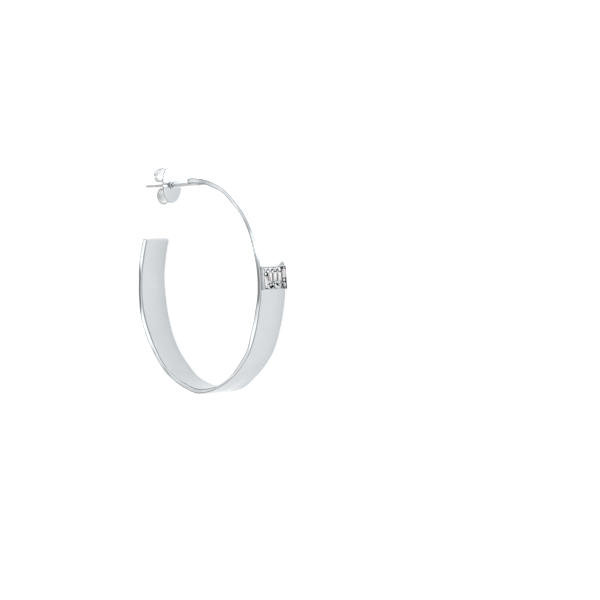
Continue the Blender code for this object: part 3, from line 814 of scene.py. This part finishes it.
def make_baguette_mesh(long):
    """A step-cut stone: a girdle slab whose two faces are inset and pulled out in steps."""
    stones = settings("stones")
    half = stones.baguette_width / 2
    pavilion = stone_depth() - CROWN_HEIGHT - GIRDLE_HEIGHT
    bm = bmesh.new()
    bmesh.ops.create_cube(bm, size=1)
    bmesh.ops.scale(bm, vec=(GIRDLE_HEIGHT, long, 2 * half), verts=bm.verts)
    bmesh.ops.translate(bm, vec=(-CROWN_HEIGHT - GIRDLE_HEIGHT / 2, 0, 0), verts=bm.verts)
    for side, height, cuts in ((1, CROWN_HEIGHT, CROWN_STEPS), (-1, pavilion, PAVILION_STEPS)):
        face = max(bm.faces, key=lambda f: side * f.calc_center_median().x)
        for inward, outward in cuts:
            bmesh.ops.inset_region(
                bm,
                faces=[face],
                thickness=half * inward,
                depth=height * outward,
                use_even_offset=True,
            )
    soften(bm, 0.000006, 1, 12)
    return bm


def make_round_mesh():
    """A round brilliant: the hull of its table, star, girdle and pavilion corners."""
    stones = settings("stones")
    radius = stones.round_diameter / 2
    depth = stone_depth()
    bm = bmesh.new()
    # corners, turn in steps, share of the radius, depth under the table
    rings = (
        (8, 0.5, 0.56, 0.0),
        (8, 0.0, 0.80, CROWN_HEIGHT * 0.52),
        (16, 0.0, 1.00, CROWN_HEIGHT),
        (16, 0.0, 1.00, CROWN_HEIGHT + GIRDLE_HEIGHT),
        (8, 0.5, 0.50, CROWN_HEIGHT + GIRDLE_HEIGHT + (depth - CROWN_HEIGHT) * 0.44),
        (8, 0.0, 0.12, depth),
    )
    for count, turn, share, down in rings:
        made = bmesh.ops.create_circle(bm, segments=count, radius=radius * share)["verts"]
        bmesh.ops.rotate(
            bm, verts=made, cent=(0, 0, 0), matrix=Matrix.Rotation(turn * 2 * pi / count, 3, "Z")
        )
        bmesh.ops.rotate(bm, verts=made, cent=(0, 0, 0), matrix=Matrix.Rotation(pi / 2, 3, "Y"))
        bmesh.ops.translate(bm, vec=(-down, 0, 0), verts=made)
    bmesh.ops.delete(bm, geom=bm.edges[:], context="EDGES_FACES")
    hull = bmesh.ops.convex_hull(bm, input=bm.verts[:])
    loose = [v for v in hull["geom_interior"] if isinstance(v, bmesh.types.BMVert)]
    bmesh.ops.delete(bm, geom=loose, context="VERTS")
    bmesh.ops.dissolve_limit(bm, angle_limit=radians(1.5), verts=bm.verts, edges=bm.edges)
    soften(bm, 0.000005, 1, 8)
    return bm


class EARRING_OT_stones(bpy.types.Operator):
    """Cut and place the step-cut and the round stones"""

    bl_idname = "earring.stones"
    bl_label = "Stones"

    def execute(self, context):
        tints = settings("stones")
        white, rose = tuple(tints.baguette_painted_white), tuple(tints.baguette_shade)
        frost, slate = tuple(tints.round_painted_white), tuple(tints.round_shade)
        # painted light: white crowns with painted dark facet reflections
        baguette_crown = cut_stone_crown(
            "clear_baguette", 1.77, 3800.0, (1.0, 0.10, 1.0),
            ((0.0, toned(rose, 0.6)), (0.12, rose), (0.40, white)),
        )
        round_crown = cut_stone_crown(
            "clear_round", 2.2, 4200.0, (1.0, 1.0, 1.0),
            ((0.0, (0.04, 0.045, 0.05)), (0.16, slate), (0.42, frost)),
        )
        # painted shade for the stones' lower parts
        depth = cut_stone_depth("stone_depth", 2.0)
        rows = {"upper": [], "lower": []}
        for i, (across, rounds, centre, long, _) in enumerate(stone_columns()):
            bm = make_baguette_mesh(long)
            place_stone(bm, centre, across, BAGUETTE_LIT)
            stone = finish_piece(
                f"cut_baguette_{i + 1}", bm, baguette_crown, "hoop_body", 1
            )
            stone.data.materials.append(depth)
            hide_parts(f"baguette_{i + 1}")
            for row, along in rounds.items():
                rows[row].append((along, across))
        for i, (along, across) in enumerate(rows["upper"] + rows["lower"]):
            bm = make_round_mesh()
            place_stone(bm, along, across, ROUND_LIT)
            stone = finish_piece(
                f"cut_round_{i + 1}", bm, round_crown, "hoop_body", 1
            )
            stone.data.materials.append(depth)
            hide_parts(f"round_{i + 1}")
        return {"FINISHED"}


# ---- ear nut

NUT_OFFSET = -0.0065  # the plate's front, from the end of the band
POST_CLEARANCE = 0.00005
PLATE_BENDS = 4  # cuts on each side of the crease's middle
COLLAR_ROUND = 0.00007
SCROLL_START, SCROLL_FULL_WIDTH, SCROLL_CURL, SCROLL_END = map(radians, (30, 200, 230, 318))
SCROLL_SHRINK = 0.16  # how much smaller the curl gets by its end
SCROLL_SECTIONS = 72


def nut_place():
    """The nut's own origin: on the post's axis, in the middle of the plate."""
    nut = settings("nut")
    return post_axis() + Vector((NUT_OFFSET - nut.plate_thickness / 2, 0, 0))


def plate_middle(y):
    """X of the middle of the leaning, creased sheet at this height."""
    nut = settings("nut")
    lean = NUT_HALVES[1 if y > 0 else -1][2]
    t = min(1.0, abs(y) / (nut.crease_width / 2))
    crease = 1 - t * t * (3 - 2 * t)
    return -abs(y) * tan(radians(lean)) - nut.crease_depth * crease


def plate_outline(points_per_scallop):
    """(y, z) of the scalloped edge, all the way round."""
    nut = settings("nut")
    count = nut.scallops * points_per_scallop
    points = []
    for i in range(count):
        angle = 2 * pi * i / count
        side = 1 if sin(angle) > 0 else -1
        height, fullness = NUT_HALVES[side][:2]
        dip = nut.scallop_depth * abs(sin(pi * i / points_per_scallop)) ** 1.5
        up = abs(sin(angle)) ** (2 / fullness)
        across = abs(cos(angle)) ** (2 / fullness)
        z = (nut.plate_width / 2 - dip) * across
        points.append((side * (height - dip) * up, z if cos(angle) > 0 else -z))
    return points


def make_plate_mesh():
    """The plate: a scalloped sheet with a hole, cut across at the crease and bent there."""
    nut = settings("nut")
    bore = settings("post").diameter / 2 + POST_CLEARANCE
    half = nut.plate_thickness / 2
    bm = bmesh.new()
    outline = [bm.verts.new((-half, y, z)) for y, z in plate_outline(8)]
    for pair in zip(outline, outline[1:] + outline[:1]):
        bm.edges.new(pair)
    hole = bmesh.ops.create_circle(bm, segments=48, radius=bore)["verts"]
    quarter = Matrix.Rotation(pi / 2, 3, "Y")
    bmesh.ops.rotate(bm, verts=hole, cent=(0, 0, 0), matrix=quarter)
    bmesh.ops.translate(bm, vec=(-half, 0, 0), verts=hole)
    bmesh.ops.triangle_fill(bm, use_beauty=True, use_dissolve=False, edges=bm.edges[:])
    for i in range(-PLATE_BENDS, PLATE_BENDS + 1):
        bmesh.ops.bisect_plane(
            bm,
            geom=bm.verts[:] + bm.edges[:] + bm.faces[:],
            dist=1e-8,
            plane_co=(0, nut.crease_width / 2 * i / PLATE_BENDS, 0),
            plane_no=(0, 1, 0),
        )
    raised = bmesh.ops.extrude_face_region(bm, geom=bm.faces[:], use_keep_orig=True)["geom"]
    front = [v for v in raised if isinstance(v, bmesh.types.BMVert)]
    bmesh.ops.translate(bm, vec=(nut.plate_thickness, 0, 0), verts=front)
    bmesh.ops.recalc_face_normals(bm, faces=bm.faces[:])
    soften(bm, 0.00005, 3, 60)
    bm.normal_update()
    # painted light: the plate's cut edge takes a lighter matt copy of the metal
    for face in bm.faces:
        if abs(face.normal.x) < 0.98:  # the cut edge and its bevels, still unbent
            face.material_index = 1
    for vert in bm.verts:
        vert.co.x += plate_middle(vert.co.y)
    return bm


def make_collar_mesh():
    """The turned collar round the hole, standing out of the crease on both sides."""
    nut = settings("nut")
    bore = settings("post").diameter / 2 + POST_CLEARANCE
    outer = nut.collar_diameter / 2
    half = nut.plate_thickness / 2
    back, front = -half - nut.crease_depth, half + nut.collar_rise
    wall = outer - bore
    rim = [(cos(i / 6 * pi) * wall / 2, sin(i / 6 * pi)) for i in range(7)]
    profile = [(back, bore), (back, outer)]
    for away, up in rim:
        profile.append((front - COLLAR_ROUND + COLLAR_ROUND * up, bore + wall / 2 + away))
    return turned_mesh(profile, closed=True)


def make_scroll_mesh(side, depth, reach):
    """A rolled scroll: a ribbon along its path, narrow at the plate, given its thickness."""
    nut = settings("nut")
    thickness = nut.scroll_thickness
    inner = settings("post").diameter / 2 + POST_CLEARANCE + thickness / 2
    outer = reach - thickness / 2
    semi_y, centre_y = (outer - inner) / 2, (outer + inner) / 2
    start_y = centre_y + semi_y * sin(SCROLL_START)
    back_x = -depth + thickness / 2
    semi_x = (plate_middle(side * start_y) - back_x) / (1 + cos(SCROLL_START))
    centre_x = back_x + semi_x
    bm = bmesh.new()
    rims = ([], [])
    for i in range(SCROLL_SECTIONS):
        angle = SCROLL_START + (SCROLL_END - SCROLL_START) * i / (SCROLL_SECTIONS - 1)
        curled = max(0.0, (angle - SCROLL_CURL) / (SCROLL_END - SCROLL_CURL))
        size = 1 - SCROLL_SHRINK * curled
        x = centre_x + semi_x * size * cos(angle)
        y = side * (centre_y + semi_y * size * sin(angle))
        t = min(1.0, (angle - SCROLL_START) / (SCROLL_FULL_WIDTH - SCROLL_START))
        half = (nut.neck_width + (nut.scroll_width - nut.neck_width) * t * t * (3 - 2 * t)) / 2
        for rim, z in zip(rims, (-half, half)):
            rim.append(bm.verts.new((x, y, z)))
    for rim in rims:
        for pair in zip(rim, rim[1:]):
            bm.edges.new(pair)
    bmesh.ops.bridge_loops(bm, edges=bm.edges[:])
    bmesh.ops.recalc_face_normals(bm, faces=bm.faces[:])
    for vert in bm.verts:
        vert.normal_update()
    moves = {vert: vert.normal * (thickness / 2) for vert in bm.verts}
    back = bmesh.ops.extrude_face_region(bm, geom=bm.faces[:], use_keep_orig=True)["geom"]
    far_side = {v for v in back if isinstance(v, bmesh.types.BMVert)}
    shift_sheet(bm, moves, far_side)
    bm.normal_update()
    # painted shade: the strip's cut edges take a darker matt copy, a dark outline round each scroll
    for face in bm.faces:
        if abs(face.normal.z) > 0.7:  # the strip's cut edges
            face.material_index = 1
    soften(bm, 0.00004, 3, 60)
    return bm


def shift_sheet(bm, moves, far_side):
    """Moves a sheet and its copy half the thickness to either side."""
    places = {tuple(round(c, 9) for c in vert.co): move for vert, move in moves.items()}
    for vert in bm.verts:
        move = places[tuple(round(c, 9) for c in vert.co)]
        vert.co += move if vert in far_side else -move


class EARRING_OT_nut(bpy.types.Operator):
    """Build the butterfly ear nut"""

    bl_idname = "earring.nut"
    bl_label = "Ear nut"

    def execute(self, context):
        tones = settings("nut")
        metal = polished_metal("nut_white_gold", tones.metal, 600.0, 0.000006)
        # painted shade: darker matt copy for the scrolls' cut edges
        scroll_edges = matt_painted_light_and_shade("scroll_edges", toned(tones.metal, 0.95))
        # painted light: lighter matt copy for the plate's cut edge
        plate_edges = matt_painted_light_and_shade("plate_edges", toned(tones.metal, 1.1))
        pieces = [
            ("nut_plate", make_plate_mesh(), metal),
            ("nut_collar", make_collar_mesh(), metal),
        ]
        for side, (_, _, _, depth, reach) in NUT_HALVES.items():
            half = "upper" if side > 0 else "lower"
            # painted light: each scroll's own lighter tone
            tone = tones.upper_scroll_painted_lit_metal if side > 0 else tones.lower_scroll_painted_lit_metal
            finish = polished_metal(
                half + "_scroll_painted_lit_metal", tone, 600.0, 0.000003, (0.30, 0.38), 0.85
            )
            pieces.append(("nut_scroll_" + half, make_scroll_mesh(side, depth, reach), finish))
        for name, bm, finish in pieces:
            bmesh.ops.translate(bm, vec=nut_place(), verts=bm.verts)
            piece = finish_piece(name, bm, finish, "nut_body", 40)
            piece.data.materials.append(scroll_edges if "scroll" in name else plate_edges)
            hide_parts("ear_nut")
        return {"FINISHED"}


# ---- stage

# (height of the direction, level) of the room and of the screen and panel behind the hoop.
ROOM_STOPS = ((0.0, 0.40), (0.5, 0.31), (1.0, 0.31))
SCREEN_STOPS = (
    (0.0, 0.16), (0.55, 0.18), (0.63, 0.28), (0.69, 0.48), (0.76, 0.62), (0.84, 0.90), (0.97, 0.90),
    (1.0, 0.31),
)
SKY_STRENGTH = 2.0
SCREEN_FROM, SCREEN_FULL = -0.10, -0.40  # X of the directions where the screen fades in
# Two lamps over the floor: the spot each one aims at and its spread in degrees.
LAMPS = {"side_lamp": (0.04485, 0.05515, 34.2), "nut_lamp": (-0.0059, 0.0772, 33.5)}
LAMP_HEIGHT = 0.2
LAMP_POWER = 2.3
CAMERA_ELEVATION = asin(0.72)
CAMERA_AZIMUTH = radians(1.492)
CAMERA_ROLL = radians(-2.577)
CAMERA_DOWN, CAMERA_ASIDE = 0.015778, 0.003242  # aim, off the hoop's centre
CAMERA_LENS = 119.3


def make_floor():
    stage = settings("stage")
    bm = bmesh.new()
    bmesh.ops.create_grid(bm, x_segments=1, y_segments=1, size=stage.floor_size / 2)
    mesh = bpy.data.meshes.new("floor")
    bm.to_mesh(mesh)
    bm.free()
    floor = add_object("floor", mesh)
    material, _, shader = new_nodes("pale_floor")
    shader.inputs["Base Color"].default_value = (*stage.floor, 1)
    shader.inputs["Roughness"].default_value = 0.7
    shader.inputs["Specular IOR Level"].default_value = 0.1
    shader.inputs["Emission Color"].default_value = (1, 1, 1, 1)
    shader.inputs["Emission Strength"].default_value = stage.floor_glow
    mesh.materials.append(material)


def make_sky():
    """An even pale room. Behind the hoop a dark screen stands below a long bright panel."""
    world = bpy.data.worlds.new("studio_sky")
    bpy.context.scene.world = world
    world.use_nodes = True
    tree = world.node_tree
    place = tree.nodes.new("ShaderNodeTexCoord")
    split = tree.nodes.new("ShaderNodeSeparateXYZ")
    tree.links.new(place.outputs["Generated"], split.inputs["Vector"])
    room = ramp_of_levels(tree, split.outputs["Z"], ROOM_STOPS)
    screen = ramp_of_levels(tree, split.outputs["Z"], SCREEN_STOPS)
    behind = tree.nodes.new("ShaderNodeMapRange")
    behind.inputs["From Min"].default_value = SCREEN_FROM
    behind.inputs["From Max"].default_value = SCREEN_FULL
    tree.links.new(split.outputs["X"], behind.inputs["Value"])
    mix = tree.nodes.new("ShaderNodeMix")
    mix.data_type = "RGBA"
    tree.links.new(behind.outputs["Result"], mix.inputs["Factor"])
    tree.links.new(room, mix.inputs["A"])
    tree.links.new(screen, mix.inputs["B"])
    background = tree.nodes["Background"]
    background.inputs["Strength"].default_value = SKY_STRENGTH
    tree.links.new(mix.outputs["Result"], background.inputs["Color"])


def make_lamps():
    """Two lamps that point straight down and brighten the floor beside the hoop's post side."""
    for name, (x, y, spread) in LAMPS.items():
        light = bpy.data.lights.new(name, "SPOT")
        light.energy = LAMP_POWER
        light.spot_size = radians(spread)
        light.spot_blend = 0.02
        light.shadow_soft_size = 0.002
        lamp = add_object(name, light)
        lamp.location = (x, y, LAMP_HEIGHT)


def make_camera():
    """The photographed angle: from the hoop's front, 46 degrees up, post at the top."""
    stage = settings("stage")
    level, height = cos(CAMERA_ELEVATION), sin(CAMERA_ELEVATION)
    front = Vector((cos(CAMERA_AZIMUTH), sin(CAMERA_AZIMUTH), 0))
    back = front * level + Vector((0, 0, height))
    down = front * height - Vector((0, 0, level))
    side = Vector((-front.y, front.x, 0))
    eye = HOOP_CENTRE + back * stage.camera_distance
    target = HOOP_CENTRE + down * CAMERA_DOWN - side * CAMERA_ASIDE
    ahead = (target - eye).normalized()
    right = ahead.cross(side).normalized()
    up = right.cross(ahead)
    turned_right = right * cos(CAMERA_ROLL) + up * sin(CAMERA_ROLL)
    turned_up = up * cos(CAMERA_ROLL) - right * sin(CAMERA_ROLL)
    matrix = Matrix((turned_right, turned_up, -ahead)).transposed().to_4x4()
    matrix.translation = eye
    data = bpy.data.cameras.new("camera")
    data.lens = CAMERA_LENS
    data.sensor_width = 36.0
    data.clip_start = 0.005
    camera = add_object("camera", data)
    camera.matrix_world = matrix
    bpy.context.scene.camera = camera


class EARRING_OT_stage(bpy.types.Operator):
    """Set up the floor, the light and the camera"""

    bl_idname = "earring.stage"
    bl_label = "Stage"

    def execute(self, context):
        make_floor()
        make_sky()
        make_lamps()
        make_camera()
        context.scene.view_settings.view_transform = "Standard"
        return {"FINISHED"}


class EARRING_PT_panel(bpy.types.Panel):
    """Lists the earring's pieces"""

    bl_idname = "EARRING_PT_panel"
    bl_label = "Hoop Earring"
    bl_space_type = "VIEW_3D"
    bl_region_type = "UI"
    bl_category = "Earring"

    def draw(self, context):
        layout = self.layout
        for group, operator in PANEL_ROWS:
            box = layout.box()
            box.operator(operator.bl_idname)
            values = getattr(context.scene, "earring_" + group)
            for name in values.__annotations__:
                box.prop(values, name)


GROUPS = {
    "band": EarringBandSettings,
    "post": EarringPostSettings,
    "stones": EarringStoneSettings,
    "nut": EarringNutSettings,
    "stage": EarringStageSettings,
}
PANEL_ROWS = (
    ("band", EARRING_OT_band),
    ("post", EARRING_OT_post),
    ("stones", EARRING_OT_setting),
    ("stones", EARRING_OT_stones),
    ("nut", EARRING_OT_nut),
    ("stage", EARRING_OT_stage),
)
CLASSES = (*GROUPS.values(), *(row[1] for row in PANEL_ROWS), EARRING_PT_panel)


def register():
    for cls in CLASSES:
        bpy.utils.register_class(cls)
    for name, group in GROUPS.items():
        setattr(bpy.types.Scene, "earring_" + name, PointerProperty(type=group))


def unregister():
    for name in GROUPS:
        delattr(bpy.types.Scene, "earring_" + name)
    for cls in reversed(CLASSES):
        bpy.utils.unregister_class(cls)


def main():
    register()
    bpy.ops.earring.band()
    bpy.ops.earring.post()
    bpy.ops.earring.setting()
    bpy.ops.earring.stones()
    bpy.ops.earring.nut()
    bpy.ops.earring.stage()


if __name__ == "__main__":
    main()
